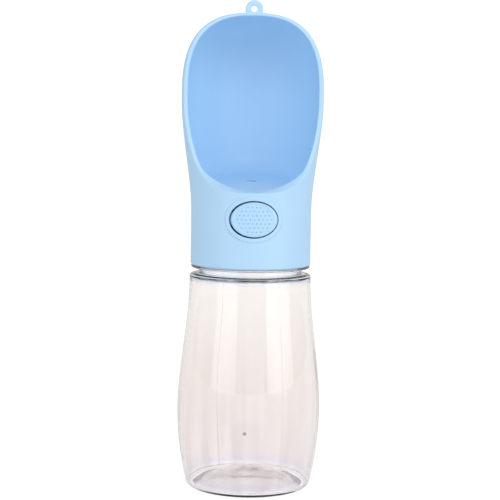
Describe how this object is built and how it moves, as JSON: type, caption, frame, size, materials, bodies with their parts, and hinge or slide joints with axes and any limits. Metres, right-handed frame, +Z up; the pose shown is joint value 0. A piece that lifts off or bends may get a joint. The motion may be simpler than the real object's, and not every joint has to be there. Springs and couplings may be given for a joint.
{
  "type": "dog travel water bottle",
  "caption": "Clear bottle with a screw-on head that carries a scoop-shaped drinking trough, a push-button valve on its collar and a hanging loop on top.",
  "frame": {"origin": "centre of the ring that the bottle stands on", "axes": "+Z up along the bottle, -Y out of the trough and the button, +X to the right as seen from the front"},
  "size_m": [0.075, 0.075, 0.2543],
  "materials": {
    "clear_plastic": "clear, glossy, blow-moulded",
    "blue_plastic": "pale blue, satin, injection-moulded",
    "button_plastic": "pale blue, satin, with a fine dotted pad",
    "white_plastic": "natural white, satin",
    "silicone": "translucent white silicone",
    "black_rubber": "black rubber",
    "spring_steel": "drawn stainless wire and plain screws"
  },
  "bodies": {
    "bottle": {"bottle": "clear_plastic"},
    "seal": {"bottle_gasket": "silicone"},
    "head": {"head_shell": "blue_plastic", "inner_cap": "white_plastic", "valve_block": "white_plastic", "inlet_seal": "silicone", "outlet_seal": "silicone", "gland_o_ring": "black_rubber", "gland_ring": "white_plastic", "return_spring": "spring_steel", "end_plug": "white_plastic", "plug_o_ring": "black_rubber", "block_screws": "spring_steel"},
    "button": {"push_button": "button_plastic", "valve_spindle": "white_plastic", "valve_washer": "silicone"}
  },
  "joints": [
    {"name": "head_lift", "type": "slide", "parent": "bottle", "child": "seal", "axis": [0, 0, 1], "range_m": [0, 0.009]},
    {"name": "head_turn", "type": "hinge", "parent": "seal", "child": "head", "pos_m": [0, 0, 0.1284], "axis": [0, 0, 1], "range_deg": [0, 720]},
    {"name": "button_press", "type": "slide", "parent": "head", "child": "button", "axis": [0, 1, 0], "range_m": [0, 0.004], "stiffness_N_per_m": 600, "springref_m": -0.002, "deforming": ["return_spring"]}
  ],
  "couplings": [
    {"joint": "head_lift", "follows": "head_turn", "m_per_rad": 0.000716}
  ]
}
